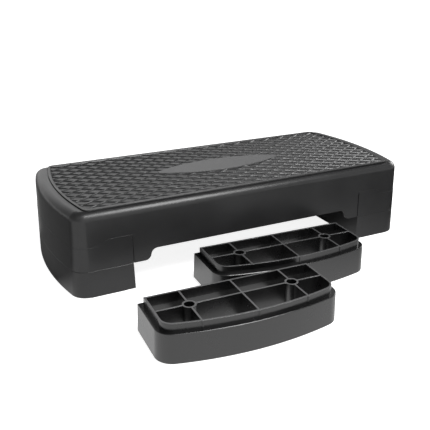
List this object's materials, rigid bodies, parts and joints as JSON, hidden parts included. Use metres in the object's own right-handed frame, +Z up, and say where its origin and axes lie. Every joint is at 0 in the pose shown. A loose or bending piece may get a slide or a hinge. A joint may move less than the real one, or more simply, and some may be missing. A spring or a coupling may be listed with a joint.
{
  "type": "aerobic step platform",
  "caption": "Low exercise step: hollow deck with bowed ends and a diamond-tread mat on stackable riser blocks, with spare blocks lying beside it to raise it further.",
  "frame": {"origin": "middle of the footprint of the whole set, loose risers and all, on the floor", "axes": "+X along the deck, +Y from the loose risers towards the deck, +Z up"},
  "size_m": [0.68, 0.5302, 0.145],
  "materials": {
    "deck": "satin",
    "spare_riser": "satin",
    "mat": "matte",
    "foot": "matte"
  },
  "bodies": {
    "left_riser_body": {"left_riser": "deck", "left_riser_foot_1": "foot", "left_riser_foot_2": "foot", "left_riser_foot_3": "foot", "left_riser_foot_4": "foot"},
    "deck_body": {"deck_shell": "deck", "tread_mat": "mat"},
    "right_riser_body": {"right_riser": "deck", "right_riser_foot_1": "foot", "right_riser_foot_2": "foot", "right_riser_foot_3": "foot", "right_riser_foot_4": "foot"},
    "spare_front_body": {"spare_riser_front": "spare_riser", "spare_riser_front_foot_1": "foot", "spare_riser_front_foot_2": "foot", "spare_riser_front_foot_3": "foot", "spare_riser_front_foot_4": "foot"},
    "spare_rear_body": {"spare_riser_rear": "spare_riser", "spare_riser_rear_foot_1": "foot", "spare_riser_rear_foot_2": "foot", "spare_riser_rear_foot_3": "foot", "spare_riser_rear_foot_4": "foot"}
  },
  "joints": [
    {"name": "deck_lift", "type": "slide", "parent": "left_riser_body", "child": "deck_body", "axis": [0, 0, 1], "range_m": [0, 0.1]},
    {"name": "right_riser_release", "type": "slide", "parent": "deck_body", "child": "right_riser_body", "axis": [0, 0, -1], "range_m": [0, 0.1]},
    {"name": "spare_front_lift", "type": "slide", "parent": "left_riser_body", "child": "spare_front_body", "axis": [0, 0, 1], "range_m": [0, 0.1]},
    {"name": "spare_rear_lift", "type": "slide", "parent": "left_riser_body", "child": "spare_rear_body", "axis": [0, 0, 1], "range_m": [0, 0.1]}
  ],
  "couplings": [
    {"joint": "right_riser_release", "follows": "deck_lift", "ratio": 1}
  ]
}
